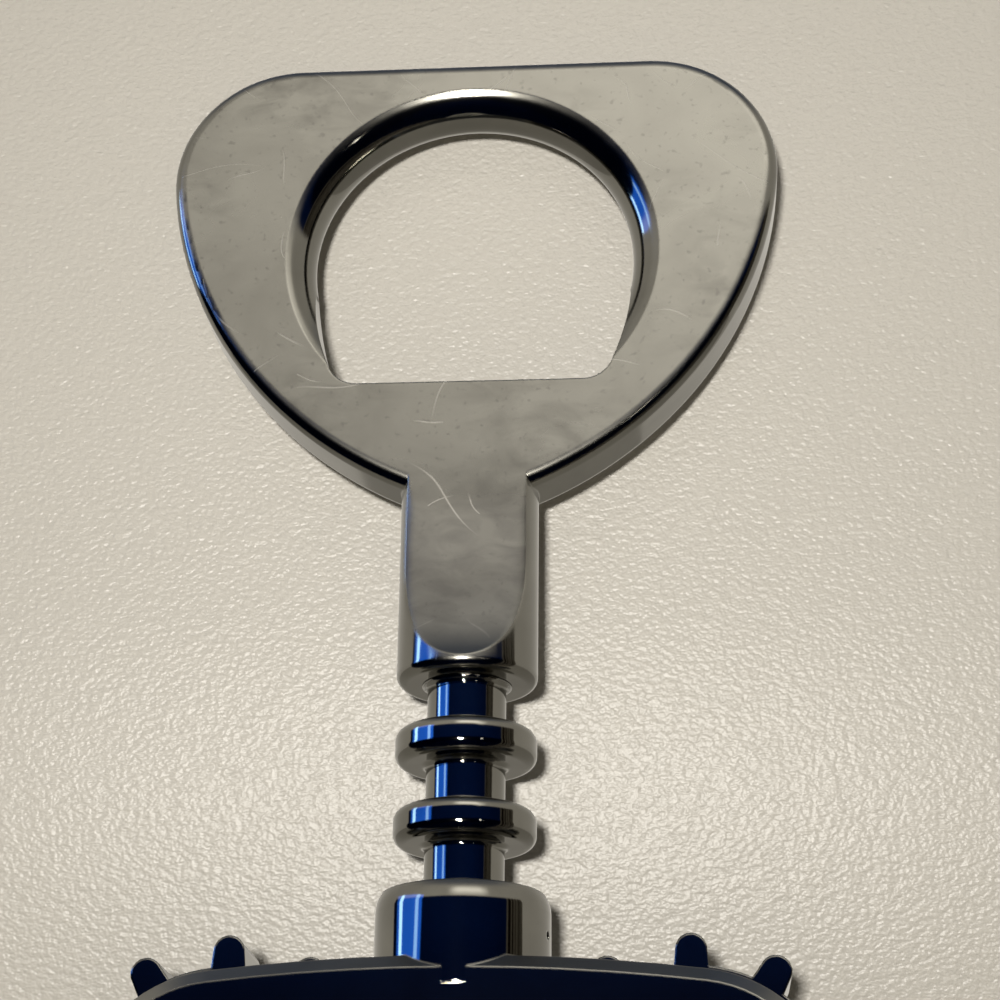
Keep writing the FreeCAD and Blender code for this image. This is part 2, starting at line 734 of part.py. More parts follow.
def cheek_block(body):
    lobe = S.cheek_lobe_radius
    rise = S.cheek_top_rise
    off = pivot_offset
    arch_radius = (off * off + rise * rise - lobe * lobe) / ((rise - lobe) * 2)
    between = arch_radius - lobe
    top_x = off + off * lobe / between
    top_z = S.pivot_height + (arch_radius - rise) * lobe / between
    foot_x = S.cheek_foot_half_width
    foot_z = S.pivot_height - S.cheek_foot_drop
    # where the straight lower edge from the foot touches the lobe
    run = off - foot_x
    drop = S.cheek_foot_drop
    square = run * run + drop * drop
    tangent = root(square - lobe * lobe)
    touch_x = foot_x + (run * tangent + drop * lobe) * tangent / square
    touch_z = foot_z + (drop * tangent - run * lobe) * tangent / square
    sketch = new_sketch(body, "cheeks", "XZ_Plane")
    outline(sketch, [
        (foot_x, foot_z),
        (touch_x, touch_z, lobe, 1),
        (top_x, top_z, arch_radius, 1),
        (-top_x, top_z, lobe, 1),
        (-touch_x, touch_z),
        (-foot_x, foot_z),
    ])
    block = extrude("Pad", body, "cheeks_pad", sketch, half_depth * 2)
    soften("Chamfer", body, "cheeks_bevel", block, on_face_at(half_depth.value), S.cheek_bevel)


def cage_curve():
    """The bell shape's two arcs: an upper hollow one and a lower full one, tangent to each other."""
    top_z = S.pivot_height - S.cage_top_drop
    across = cage_skirt_radius - cage_waist_radius
    down = top_z - cage_skirt_height
    radii = (across * across + down * down) / (across * 2)
    lower = radii - S.cage_hollow_radius
    meet_r = cage_waist_radius + across * S.cage_hollow_radius / radii
    meet_z = top_z - down * S.cage_hollow_radius / radii
    return top_z, lower, meet_r, meet_z


def cage_and_collar(body):
    collar_low = S.pivot_height + S.cheek_lobe_radius - PAST
    collar_top = S.pivot_height + S.collar_rise
    crown_depth = S.collar_wall - S.rack_bore_chamfer - S.collar_land
    crown_radius = (S.collar_crown * S.collar_crown + crown_depth * crown_depth) / (crown_depth * 2)
    collar = new_sketch(body, "collar", "XZ_Plane")
    outline(collar, [
        (0, collar_low),
        (collar_radius, collar_low),
        (collar_radius, collar_top - S.collar_crown, crown_radius, 1),
        (collar_radius - crown_depth, collar_top),
        (0, collar_top),
    ])
    turn("Revolution", body, "collar_turned", collar)
    top_z, lower, meet_r, meet_z = cage_curve()
    cage = new_sketch(body, "cage", "XZ_Plane")
    outline(cage, [
        (0, spigot_bottom),
        (spigot_radius, spigot_bottom),
        (spigot_radius, S.bell_height),
        (cage_skirt_radius, S.bell_height),
        (cage_skirt_radius, cage_skirt_height, lower, 1),
        (meet_r, meet_z, S.cage_hollow_radius, -1),
        (cage_waist_radius, top_z),
        (0, top_z),
    ])
    turn("Revolution", body, "cage_turned", cage)


def cage_hollow(body):
    """The rack's bore from the collar down, and the room for the worm under it."""
    wall = S.cage_wall
    top_z, lower, meet_r, meet_z = cage_curve()
    collar_top = S.pivot_height + S.collar_rise
    inner_lower = lower - wall
    # the inner curve runs a wall's thickness inside the outer one
    lean_x = (cage_skirt_radius - meet_r)
    lean_z = meet_z - cage_skirt_height
    inner_meet_r = meet_r - wall * (lower - lean_x) / lower
    inner_meet_z = meet_z - wall * lean_z / lower
    inner = new_sketch(body, "hollow", "XZ_Plane")
    outline(inner, [
        (0, spigot_bottom - PAST),
        (spigot_radius - S.spigot_wall, spigot_bottom - PAST),
        (spigot_radius - S.spigot_wall, S.bell_height),
        (cage_skirt_radius - wall, S.bell_height + S.cage_ledge),
        (cage_skirt_radius - wall, cage_skirt_height, inner_lower, 1),
        (inner_meet_r, inner_meet_z),
        (bore_radius, cage_roof),
        (bore_radius, collar_top - S.rack_bore_chamfer),
        (bore_radius + S.rack_bore_chamfer, collar_top),
        (bore_radius + S.rack_bore_chamfer, collar_top + PAST),
        (0, collar_top + PAST),
    ])
    turn("Groove", body, "hollow_cut", inner)


def lever_slot(body):
    """Room for the pinions and for the arms at rest, open to the sides and upwards."""
    angle = S.lever_rest_angle
    beside = arm_root_half_width + S.tooth_slot_gap
    below = root(slot_radius * slot_radius - beside * beside)

    def beside_arm(distance):
        x = pivot_offset - beside * cosine(angle) + distance * sine(angle)
        z = S.pivot_height - beside * sine(angle) - distance * cosine(angle)
        return x, z

    meet_x, meet_z = beside_arm(below)
    low_x, low_z = beside_arm(slot_radius * 2)
    outer = pivot_offset + slot_radius + PAST
    top = S.pivot_height + slot_radius
    sketch = new_sketch(body, "slot", "XZ_Plane")
    for side, bend in ((1, 1), (-1, -1)):
        outline(sketch, [
            (pivot_offset * side, top, slot_radius, bend),
            ((pivot_offset - slot_radius) * side, S.pivot_height, slot_radius, bend),
            (meet_x * side, meet_z),
            (low_x * side, low_z),
            (outer * side, low_z),
            (outer * side, top),
        ])
    extrude("Pocket", body, "slot_cut", sketch, half_slot * 2)


def make_body_frame():
    body = new_body("body_frame")
    cheek_block(body)
    cage_and_collar(body)
    cage_hollow(body)
    lever_slot(body)
    pivots = new_sketch(body, "pivots", "XZ_Plane")
    for side in (1, -1):
        circle(pivots, pivot_offset * side, S.pivot_height, S.pivot_pin_radius + S.press_gap)
    extrude("Pocket", body, "pivots_cut", pivots, (half_depth + PAST) * 2)
    window_low = S.bell_height + S.window_sill
    window_high = cage_roof - S.window_top_drop
    windows = new_sketch(body, "windows", "XZ_Plane")
    outline(windows, [
        (-S.window_low_half_width, window_low, S.window_low_arc, 1),
        (S.window_low_half_width, window_low),
        (S.window_high_half_width, window_high, S.window_high_arc, 1),
        (-S.window_high_half_width, window_high),
    ])
    extrude("Pocket", body, "windows_cut", windows, (cage_skirt_radius + PAST) * 2)
    holes = new_sketch(body, "collar_holes", "YZ_Plane")
    holes.AttachmentOffset = turned_about(0, -1, 0)
    bind(holes, ".AttachmentOffset.Rotation.Angle", S.collar_hole_turn)
    circle(holes, 0, S.pivot_height + S.collar_hole_rise, S.collar_hole_radius)
    extrude("Pocket", body, "collar_holes_cut", holes, (collar_radius + PAST) * 2)
    return body


# Bell and its plastics

def make_bell_pieces():
    bell = lathe_body("bell", [
        (bell_bore + S.bell_foot_round, 0),
        (bell_radius - S.bell_foot_round, 0, S.bell_foot_round, 1),
        (bell_radius, S.bell_foot_round),
        (bell_radius, S.bell_height - S.bell_round, S.bell_round, 1),
        (bell_radius - S.bell_round, S.bell_height),
        (bell_bore, S.bell_height),
        (bell_bore, S.bell_foot_round, S.bell_foot_round, 1),
    ])
    insert_profile = ring_profile(S.bottle_lip_radius, spigot_radius, S.insert_recess, S.bottle_lip_depth)
    insert = lathe_body("bell_insert", insert_profile)
    # the bottle's lip pushes up against the pad, and the pad against the cage's spigot
    pad_profile = ring_profile(S.cork_passage_radius, spigot_radius, S.bottle_lip_depth, spigot_bottom)
    pad = lathe_body("lip_pad", pad_profile)
    return [bell, insert, pad]


nodes = [make_body_frame(), make_head_opener(), make_rack(), make_worm()]
nodes += make_worm_fastenings()
nodes += make_bell_pieces()
for side_name, side_sign in (("right", 1), ("left", -1)):
    nodes.append(make_lever(f"lever_{side_name}", side_sign))
    nodes += make_pivot(side_name, side_sign)
doc.recompute()

# Nothing is written unless every feature was built and every piece is one sound solid.
for feature in doc.Objects:
    if "Invalid" in feature.State or "Error" in feature.State:
        raise RuntimeError(f"{feature.Label}: {feature.State}")
for node in nodes:
    if node.Shape.isNull() or not node.Shape.isValid() or len(node.Shape.Solids) != 1:
        raise RuntimeError(f"{node.Label}: {len(node.Shape.Solids)} solids")

os.makedirs("parts", exist_ok=True)
for node in nodes:
    node.Shape.exportStep(f"parts/{node.Label}.step")
    box = node.Shape.BoundBox
    print(f"{node.Label:28s} {node.Shape.Volume:10.1f} mm3  x {box.XMin:7.2f} {box.XMax:7.2f}"
          f"  y {box.YMin:7.2f} {box.YMax:7.2f}  z {box.ZMin:7.2f} {box.ZMax:7.2f}")
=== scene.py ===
import math

import bpy
from bpy.props import FloatProperty, FloatVectorProperty, PointerProperty
from mathutils import Matrix, Vector

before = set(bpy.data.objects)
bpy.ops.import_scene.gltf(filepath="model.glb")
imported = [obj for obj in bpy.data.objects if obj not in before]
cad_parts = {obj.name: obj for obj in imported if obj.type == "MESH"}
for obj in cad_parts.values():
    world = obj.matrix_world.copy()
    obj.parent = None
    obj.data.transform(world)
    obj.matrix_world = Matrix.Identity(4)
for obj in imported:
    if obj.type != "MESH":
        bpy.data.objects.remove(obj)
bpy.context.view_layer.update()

bl_info = {
    "name": "Wing Corkscrew",
    "version": (1, 0, 0),
    "blender": (4, 5, 0),
    "location": "3D View > Sidebar > Corkscrew",
    "description": "Finishes and studio for a wing corkscrew with a cap-lifter head",
    "category": "Object",
}

MM = 0.001  # metres in a millimetre

# The head's neck, in millimetres above the floor: where the flats run out, and where the plate begins.
NECK = (113.2, 126.0)

# The stage, in millimetres.
FLOOR_SIDE = 3000
BOARD_WIDTH = 300
BOARD_TOP = 330

# A Mix node's sockets for its two colours and for their mix.
COLOUR_A = 6
COLOUR_B = 7
MIXED = 2

POLISHED_CASTINGS = ("rack", "lever_right", "lever_left", "body_frame", "bell")
STEEL_PIECES = ("worm", "worm_pin", "rack_washer", "pivot_pin_right", "pivot_pin_left",
                "burr_washer_right", "burr_washer_left")
PLASTIC_PIECES = ("bell_insert", "lip_pad", "thrust_washer_right_front", "thrust_washer_right_rear",
                  "thrust_washer_left_front", "thrust_washer_left_rear")


# Colours and nodes

def linear(code):
    """A hex colour as Blender's linear red, green and blue."""
    channels = [int(code[index:index + 2], 16) / 255 for index in (1, 3, 5)]
    return tuple(c / 12.92 if c <= 0.04045 else ((c + 0.055) / 1.055) ** 2.4 for c in channels)


def colour(rgb, shade=1.0):
    """A node socket's four numbers from a setting's three, darkened to the shade's share of themselves."""
    return (*(channel * shade for channel in rgb), 1.0)


def add(tree, kind, sockets=None, **settings):
    """Adds a node. Each socket takes a value, or another node's output as a link."""
    made = tree.nodes.new(kind)
    for name, value in settings.items():
        setattr(made, name, value)
    for name, value in (sockets or {}).items():
        if isinstance(value, bpy.types.NodeSocket):
            tree.links.new(value, made.inputs[name])
        else:
            made.inputs[name].default_value = value
    return made


def new_material(name):
    """An empty material and its node tree."""
    material = bpy.data.materials.new(name)
    material.use_nodes = True
    material.node_tree.nodes.clear()
    return material, material.node_tree


def millimetres(tree):
    """The piece's own coordinates, counted in millimetres, so that a pattern stays on it as it moves."""
    place = add(tree, "ShaderNodeTexCoord")
    return add(tree, "ShaderNodeVectorMath", {0: place.outputs["Object"], "Scale": 1 / MM},
               operation="SCALE").outputs[0]


# Patterns: each is a node's output, from 0 where the pattern is missing to 1 where it is full

def band(tree, value, start, end, interpolation="LINEAR"):
    """A band of the value. Its start and its end are each the value where it is nil and where it is full."""
    rise, fall = [
        add(tree, "ShaderNodeMapRange", {"Value": value, "From Min": nil, "From Max": full},
            interpolation_type=interpolation).outputs["Result"]
        for nil, full in (start, end)
    ]
    return add(tree, "ShaderNodeMath", {0: rise, 1: fall}, operation="MULTIPLY").outputs[0]


def patches(tree, place, width, low, high, detail=4.0, distortion=0.0, stretch=1.0):
    """Cloudy patches about width millimetres high, stretched along X. Low and high are the levels of the
    noise at which a patch begins and is full."""
    if stretch != 1.0:
        place = add(tree, "ShaderNodeVectorMath", {0: place, 1: (1 / stretch, 1.0, 1.0)},
                    operation="MULTIPLY").outputs[0]
    noise = add(tree, "ShaderNodeTexNoise", {"Vector": place, "Scale": 1 / width, "Detail": detail,
                                             "Distortion": distortion}).outputs["Fac"]
    cut = add(tree, "ShaderNodeMapRange", {"Value": noise, "From Min": low, "From Max": high})
    return cut.outputs["Result"]


def drawn_lines(tree, place, length, width):
    """Faint lines along Z, as a drawing die leaves them; length and width in millimetres."""
    low, high = 0.7, 0.75  # only the peaks of the noise make a line
    along = add(tree, "ShaderNodeMapping", {"Vector": place, "Scale": (width, width, length)},
                vector_type="TEXTURE").outputs["Vector"]
    noise = add(tree, "ShaderNodeTexNoise", {"Vector": along, "Scale": 1.0, "Detail": 0.0}).outputs["Fac"]
    cut = add(tree, "ShaderNodeMapRange", {"Value": noise, "From Min": low, "From Max": high})
    return cut.outputs["Result"]


def scratches(tree, place, cell, width, share):
    """Fine bent scratches on faces that look along Y, each at its own angle and no longer than its cell;
    sizes in millimetres. Share is how many of the cells have one."""
    bend = 0.7 * cell
    fading, ended = 0.2 * cell, 0.45 * cell  # along the scratch, from its middle
    wander = add(tree, "ShaderNodeTexNoise", {"Vector": place, "Scale": 1 / cell, "Detail": 0.0})
    bent = add(tree, "ShaderNodeVectorMath", {0: wander.outputs["Color"], 1: (bend,) * 3, 2: place},
               operation="MULTIPLY_ADD")
    split = add(tree, "ShaderNodeSeparateXYZ", {0: bent.outputs[0]}).outputs
    face = add(tree, "ShaderNodeCombineXYZ", {0: split["X"], 1: split["Z"]}).outputs[0]
    cells = add(tree, "ShaderNodeTexVoronoi", {"Vector": face, "Scale": 1 / cell}, voronoi_dimensions="2D")
    chance = add(tree, "ShaderNodeSeparateXYZ", {0: cells.outputs["Color"]}).outputs
    offset = add(tree, "ShaderNodeVectorMath", {0: face, 1: cells.outputs["Position"]}, operation="SUBTRACT")
    angle = add(tree, "ShaderNodeMath", {0: chance["X"], 1: math.tau}, operation="MULTIPLY")
    turned = add(tree, "ShaderNodeVectorRotate", {"Vector": offset.outputs[0], "Angle": angle.outputs[0]},
                 rotation_type="Z_AXIS")
    parts = add(tree, "ShaderNodeSeparateXYZ", {0: turned.outputs[0]}).outputs
    scratch = add(tree, "ShaderNodeMath", {0: chance["Y"], 1: share}, operation="LESS_THAN").outputs[0]
    for part, nil, full in ((parts["X"], ended, fading), (parts["Y"], width, 0.0)):
        distance = add(tree, "ShaderNodeMath", {0: part}, operation="ABSOLUTE").outputs[0]
        near = add(tree, "ShaderNodeMapRange", {"Value": distance, "From Min": nil, "From Max": full})
        scratch = add(tree, "ShaderNodeMath", {0: scratch, 1: near.outputs["Result"]},
                      operation="MULTIPLY").outputs[0]
    return scratch


def casting_faces(tree):
    """Where a casting has its flats, which look along Y, and where it looks up."""
    normal = add(tree, "ShaderNodeTexCoord").outputs["Normal"]
    facing = add(tree, "ShaderNodeSeparateXYZ", {0: normal}).outputs
    along_y = add(tree, "ShaderNodeMath", {0: facing["Y"]}, operation="ABSOLUTE").outputs[0]
    # cosines of a face's angle to Y: past 31 degrees it is round, and within 14 it is a flat
    round_at, flat_at = 0.86, 0.97
    flats = add(tree, "ShaderNodeMapRange", {"Value": along_y, "From Min": round_at, "From Max": flat_at})
    # and to Z: within 60 degrees it looks up
    side_at, up_at = 0.1, 0.5
    upward = add(tree, "ShaderNodeMapRange", {"Value": facing["Z"], "From Min": side_at, "From Max": up_at})
    return flats.outputs["Result"], upward.outputs["Result"]


def fine_scratches(finish, tree, place, flats, wear):
    """Long and short scratches on the flats; wear is how many of them there are, from none to all."""
    width = finish.scratch_width / MM
    long_ones = scratches(tree, place, cell=9.0, width=width, share=0.6 * wear)
    short_ones = scratches(tree, place, cell=3.5, width=width, share=0.3 * wear)
    either = add(tree, "ShaderNodeMath", {0: long_ones, 1: short_ones}, operation="MAXIMUM").outputs[0]
    return add(tree, "ShaderNodeMath", {0: either, 1: flats}, operation="MULTIPLY").outputs[0]


# Finishes

def plating_with_painted_round_shade(finish, tree, clouds, flats):
    """Black chrome's own colour, from dark to light in clouds, and on the rounds a painted shade
    that keeps them darker than the flats.
    """
    painted_round_shade = 0.76  # the rounds' painted shade: their colour, as a share of the flats'
    shaded_rounds_tint, flats_tint = [
        add(tree, "ShaderNodeMix", {"Factor": clouds, COLOUR_A: colour(finish.chrome_dark, shade),
                                    COLOUR_B: colour(finish.chrome_light, shade)},
            data_type="RGBA").outputs[MIXED]
        for shade in (painted_round_shade, 1.0)
    ]
    return add(tree, "ShaderNodeMix", {"Factor": flats, COLOUR_A: shaded_rounds_tint, COLOUR_B: flats_tint},
               data_type="RGBA").outputs[MIXED]


def black_chrome_casting(finish, name, haze, wear, neck=None):
    """Zinc die casting, polished and plated in black chrome: a dark warm-grey mirror. Haze is the
    roughness that a buffing wheel adds on the flats, in clouds; wear is how much they are scratched.
    Polishing has rounded every edge a little. Between the two heights of the neck it is rounder and duller,
    where the wheel came at it across the work, and its flats there are painted darker and blotchy: painted
    shade over their bright reflection, with some real mottling in it."""
    # how strong each mark's colour is, the neck's being painted shade with blotchy mottling in it, and the
    #     roughness that a scratch adds
    smear, speck, neck_shade_and_mottle, scratch = 0.8, 0.35, 0.85, 0.35
    scratch_roughness = 0.15
    cloud_haze = 0.3 * haze
    material, tree = new_material(name)
    place = millimetres(tree)
    flats, upward = casting_faces(tree)
    clouds = patches(tree, place, finish.haze_patch / MM, low=0.3, high=0.7, detail=8.0, distortion=0.8)
    clusters = patches(tree, place, 2 * finish.haze_patch / MM, low=0.42, high=0.6, detail=1.0)
    smears = patches(tree, place, finish.smear_patch / MM, low=0.4, high=0.72, detail=9.0, distortion=0.6,
                     stretch=2.0)
    specks = patches(tree, place, finish.speck / MM, low=0.62, high=0.74, detail=2.0)
    fine = fine_scratches(finish, tree, place, flats, wear)
    # each layer is a tint, and the factors whose product is how much of it lies over the layers before it
    layers = [(colour(finish.smear_and_neck_shade_tint), smears, smear * wear, flats, clusters)]
    # each kind of roughness is where it lies, and how much it adds
    roughening = [(flats, haze), (clouds, cloud_haze), (fine, scratch_roughness), (upward, finish.dust)]
    edge = finish.edge_round
    if neck is not None:
        # each band's ends are soft over a few millimetres
        foot, top = neck
        height = add(tree, "ShaderNodeSeparateXYZ", {0: place}).outputs["Z"]
        run_out = band(tree, height, (foot, foot + 0.5), (top, top - 4.0))
        dulled = add(tree, "ShaderNodeMath", {0: run_out, 1: flats}, operation="MULTIPLY").outputs[0]
        roughening.append((dulled, finish.neck_haze))
        # painted shade: a band of the neck's flats is painted darker and blotchy over their bright reflection
        neck_shade_band = band(tree, height, (foot + 2.5, foot + 6.0), (top + 4.0, top - 3.0))
        shaded_blotches = add(tree, "ShaderNodeMix", {"Factor": smears, COLOUR_A: colour(finish.smear_and_neck_shade_tint),
                                               COLOUR_B: colour(finish.speck_and_neck_shade_tint)}, data_type="RGBA")
        layers.append((shaded_blotches.outputs[MIXED], neck_shade_band, neck_shade_and_mottle, flats))
        rounder = band(tree, height, (foot + 0.5, foot + 4.0), (top + 1.0, top - 1.0))
        edge = add(tree, "ShaderNodeMath", {0: rounder, 1: finish.soft_edge_round - finish.edge_round,
                                            2: finish.edge_round}, operation="MULTIPLY_ADD").outputs[0]
    layers.append((colour(finish.speck_and_neck_shade_tint), specks, speck * wear, flats))
    layers.append((colour(finish.scratch_tint), fine, scratch))

    # the plating's clouds, with painted shade that darkens the rounds
    tint = plating_with_painted_round_shade(finish, tree, clouds, flats)
    for layer_tint, share, *factors in layers:
        for factor in factors:
            share = add(tree, "ShaderNodeMath", {0: share, 1: factor}, operation="MULTIPLY").outputs[0]
        tint = add(tree, "ShaderNodeMix", {"Factor": share, COLOUR_A: tint, COLOUR_B: layer_tint},
                   data_type="RGBA").outputs[MIXED]
    rough = finish.chrome_roughness
    for where, amount in roughening:
        rough = add(tree, "ShaderNodeMath", {0: where, 1: amount, 2: rough},
                    operation="MULTIPLY_ADD").outputs[0]
    edges = add(tree, "ShaderNodeBevel", {"Radius": edge}, samples=6)
    relief = add(tree, "ShaderNodeBump", {"Height": fine, "Strength": 0.2, "Distance": finish.scratch_depth,
                                          "Normal": edges.outputs["Normal"]}, invert=True)
    metal = add(tree, "ShaderNodeBsdfPrincipled", {"Base Color": tint, "Metallic": 1.0, "Roughness": rough,
                                                   "Normal": relief.outputs["Normal"]})
    add(tree, "ShaderNodeOutputMaterial", {"Surface": metal.outputs["BSDF"]})
    return material


def nickel_plated_steel(finish):
    """Drawn or turned steel, bright nickel plated: a clear warm mirror with faint lines of drawing, which are
    a little rougher than the rest."""
    material, tree = new_material("bright_nickel_plated_steel")
    place = millimetres(tree)
    clouds = patches(tree, place, width=2.5, low=0.35, high=0.7)
    # a die leaves lines about 0.05 mm apart; they are drawn three times as coarse, so that they show
    lines = drawn_lines(tree, place, length=7.0, width=0.15)
    tint = add(tree, "ShaderNodeMix", {"Factor": clouds, COLOUR_A: colour(finish.nickel_dark),
                                       COLOUR_B: colour(finish.nickel_light)}, data_type="RGBA")
    rough = add(tree, "ShaderNodeMath", {0: lines, 1: finish.drawing_roughness, 2: finish.nickel_roughness},
                operation="MULTIPLY_ADD")
    relief = add(tree, "ShaderNodeBump", {"Height": lines, "Strength": 0.2, "Distance": finish.drawing_depth})
    metal = add(tree, "ShaderNodeBsdfPrincipled", {"Base Color": tint.outputs[MIXED], "Metallic": 1.0,
                                                   "Roughness": rough.outputs[0],
                                                   "Normal": relief.outputs["Normal"]})
    add(tree, "ShaderNodeOutputMaterial", {"Surface": metal.outputs["BSDF"]})
    return material


def phosphated_spring_steel(finish):
    """Stamped spring steel with a phosphate coat: dull dark grey with a fine crystal grain."""
    material, tree = new_material("phosphated_spring_steel")
    grain = patches(tree, millimetres(tree), finish.crystal / MM, low=0.3, high=0.7, detail=2.0)
    tint = add(tree, "ShaderNodeMix", {"Factor": grain, COLOUR_A: colour(finish.phosphate_dark),
                                       COLOUR_B: colour(finish.phosphate_light)}, data_type="RGBA")
    relief = add(tree, "ShaderNodeBump", {"Height": grain, "Strength": 0.3, "Distance": finish.crystal_depth})
    metal = add(tree, "ShaderNodeBsdfPrincipled", {"Base Color": tint.outputs[MIXED], "Metallic": 0.8,
                                                   "Roughness": finish.phosphate_roughness,
                                                   "Normal": relief.outputs["Normal"]})
    add(tree, "ShaderNodeOutputMaterial", {"Surface": metal.outputs["BSDF"]})
    return material


def moulded_nylon(finish):
    """Black nylon from a spark-eroded mould: a matt grain with a soft broad sheen, paler where it has been
    rubbed."""
    material, tree = new_material("moulded_black_nylon")
    place = millimetres(tree)
    grain = patches(tree, place, finish.mould_grain / MM, low=0.3, high=0.7, detail=3.0)
    rubbed = patches(tree, place, width=4.0, low=0.5, high=0.75)
    tint = add(tree, "ShaderNodeMix", {"Factor": rubbed, COLOUR_A: colour(finish.nylon_black),
                                       COLOUR_B: colour(finish.nylon_rubbed)}, data_type="RGBA")
    rough = add(tree, "ShaderNodeMath", {0: grain, 1: finish.grain_roughness, 2: finish.nylon_roughness},
                operation="MULTIPLY_ADD")
    relief = add(tree, "ShaderNodeBump", {"Height": grain, "Strength": 0.35, "Distance": finish.grain_depth})
    plastic = add(tree, "ShaderNodeBsdfPrincipled", {"Base Color": tint.outputs[MIXED], "IOR": 1.53,
                                                     "Roughness": rough.outputs[0],
                                                     "Normal": relief.outputs["Normal"]})
    add(tree, "ShaderNodeOutputMaterial", {"Surface": plastic.outputs["BSDF"]})
    return material


def give(material, names):
    """Gives frame nodes their finish in place of the plain one they came with."""
    for name in names:
        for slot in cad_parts[name].material_slots:
            slot.material = material


# Stage

def seen(tree):
    """1 for what the camera sees, straight or mirrored or through glass, and 0 for light."""
    ray = add(tree, "ShaderNodeLightPath").outputs
    shown = ray["Is Camera Ray"]
    for other in ("Is Glossy Ray", "Is Transmission Ray"):
        shown = add(tree, "ShaderNodeMath", {0: shown, 1: ray[other]}, operation="MAXIMUM").outputs[0]
    return shown


def painted_board(studio, name, tint, gloss, pale=0.0):
    """A painted tabletop with the fine orange peel of a sprayed textured coat, one-sided like a screen. Gloss
    is how strongly the coat shines. Pale is the share of its look that is plain paint, whatever the light,
    and the rest shows the shadows."""
    stain, dimple = 0.97, 0.93  # the stains' colour, and the painted shade in the peel's dimples, as shares of the paint's
    material, tree = new_material(name)
    place = millimetres(tree)
    peel = patches(tree, place, studio.peel_width / MM, low=0.2, high=0.8, detail=1.0, stretch=1.3)
    stains = patches(tree, place, width=60.0, low=0.3, high=0.7)
    stained = add(tree, "ShaderNodeMix", {"Factor": stains, COLOUR_A: colour(tint),
                                          COLOUR_B: colour(tint, stain)}, data_type="RGBA").outputs[MIXED]
    # painted shade: the peel's low dimples are painted darker, as shade that falls in them
    paint = add(tree, "ShaderNodeMix", {"Factor": peel, COLOUR_A: colour(tint, dimple), COLOUR_B: stained},
                data_type="RGBA").outputs[MIXED]
    relief = add(tree, "ShaderNodeBump", {"Height": peel, "Strength": 1.0, "Distance": studio.peel_depth})
    coat = add(tree, "ShaderNodeBsdfPrincipled", {"Base Color": paint, "Roughness": 0.38, "IOR": 1.5,
                                                  "Specular IOR Level": gloss,
                                                  "Normal": relief.outputs["Normal"]})
    plain = add(tree, "ShaderNodeEmission", {"Color": paint})
    paleness = add(tree, "ShaderNodeMath", {0: seen(tree), 1: pale}, operation="MULTIPLY").outputs[0]
    front = add(tree, "ShaderNodeMixShader", {0: paleness, 1: coat.outputs["BSDF"],
                                              2: plain.outputs["Emission"]}).outputs["Shader"]
    behind = add(tree, "ShaderNodeNewGeometry").outputs["Backfacing"]
    clear = add(tree, "ShaderNodeBsdfTransparent").outputs["BSDF"]
    one_sided = add(tree, "ShaderNodeMixShader", {0: behind, 1: front, 2: clear})
    add(tree, "ShaderNodeOutputMaterial", {"Surface": one_sided.outputs["Shader"]})
    return material


def wooden_slats(studio, tree, turned):
    """Pale and dark slats that stand side by side, by how far a place is turned from the front."""
    slats_per_radian = 14.0
    noise = add(tree, "ShaderNodeTexNoise", {"W": turned, "Scale": slats_per_radian, "Detail": 1.0},
                noise_dimensions="1D").outputs["Fac"]
    pale = add(tree, "ShaderNodeMapRange", {"Value": noise, "From Min": 0.46, "From Max": 0.54})
    return add(tree, "ShaderNodeMix", {"Factor": pale.outputs["Result"], COLOUR_A: colour(studio.slat_dark),
                                       COLOUR_B: colour(studio.slat_pale)}, data_type="RGBA").outputs[MIXED]


def navy_cloth(studio):
    """Dark blue cloth that hangs in front of the object, for its mirror surfaces to show. It is darker near
    the floor, fades out at the top, and gives way to wooden slats at its right end."""
    in_shadow = 0.15  # the cloth's colour near the floor, as a share of its full colour
    seam = 0.02  # from cloth to slats, in radians
    material, tree = new_material("navy_cloth_and_slats")
    own = add(tree, "ShaderNodeTexCoord").outputs["Object"]
    place = add(tree, "ShaderNodeSeparateXYZ", {0: own}).outputs
    shade = add(tree, "ShaderNodeMapRange", {"Value": place["Z"], "From Min": studio.cloth_shadow,
                                             "From Max": studio.cloth_shadow + studio.cloth_fade})
    cloth_tint = add(tree, "ShaderNodeMix", {"Factor": shade.outputs["Result"],
                                             COLOUR_A: colour(studio.cloth_tint, in_shadow),
                                             COLOUR_B: colour(studio.cloth_tint)}, data_type="RGBA")
    forward = add(tree, "ShaderNodeMath", {0: place["Y"], 1: -1.0}, operation="MULTIPLY").outputs[0]
    turned = add(tree, "ShaderNodeMath", {0: place["X"], 1: forward}, operation="ARCTAN2").outputs[0]
    beyond = add(tree, "ShaderNodeMapRange", {"Value": turned, "From Min": studio.slats_from,
                                              "From Max": studio.slats_from + seam})
    tint = add(tree, "ShaderNodeMix", {"Factor": beyond.outputs["Result"],
                                       COLOUR_A: cloth_tint.outputs[MIXED],
                                       COLOUR_B: wooden_slats(studio, tree, turned)}, data_type="RGBA")
    cloth = add(tree, "ShaderNodeBsdfDiffuse", {"Color": tint.outputs[MIXED]}).outputs["BSDF"]
    clear = add(tree, "ShaderNodeBsdfTransparent").outputs["BSDF"]
    fade = add(tree, "ShaderNodeMapRange", {"Value": place["Z"], "From Min": studio.cloth_height,
                                            "From Max": studio.cloth_height + studio.cloth_fade},
               interpolation_type="SMOOTHSTEP").outputs["Result"]
    faded = add(tree, "ShaderNodeMixShader", {0: fade, 1: cloth, 2: clear})
    add(tree, "ShaderNodeOutputMaterial", {"Surface": faded.outputs["Shader"]})
    return material


